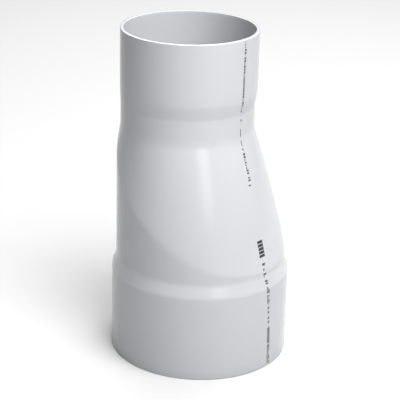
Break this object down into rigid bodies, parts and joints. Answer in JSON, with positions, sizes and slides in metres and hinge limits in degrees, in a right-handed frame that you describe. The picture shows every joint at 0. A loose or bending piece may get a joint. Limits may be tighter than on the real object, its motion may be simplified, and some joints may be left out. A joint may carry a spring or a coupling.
{
  "type": "eccentric duct reducer",
  "caption": "Eccentric plastic duct reducer: a large lower socket and a smaller upper socket share one straight side, and a sloping round transition joins them.",
  "frame": {"origin": "centre of the large socket's mouth, on the plane of its rim", "axes": "+Z along the duct, from the large socket to the small one; +X towards the sloping side; the straight side faces -X"},
  "size_m": [0.21, 0.21, 0.387],
  "materials": {
    "pvc": "light grey PVC-U, semi-gloss, with a printed line of small dark marks along the slope"
  },
  "bodies": {
    "root": {"duct_reducer": "pvc"}
  },
  "joints": []
}
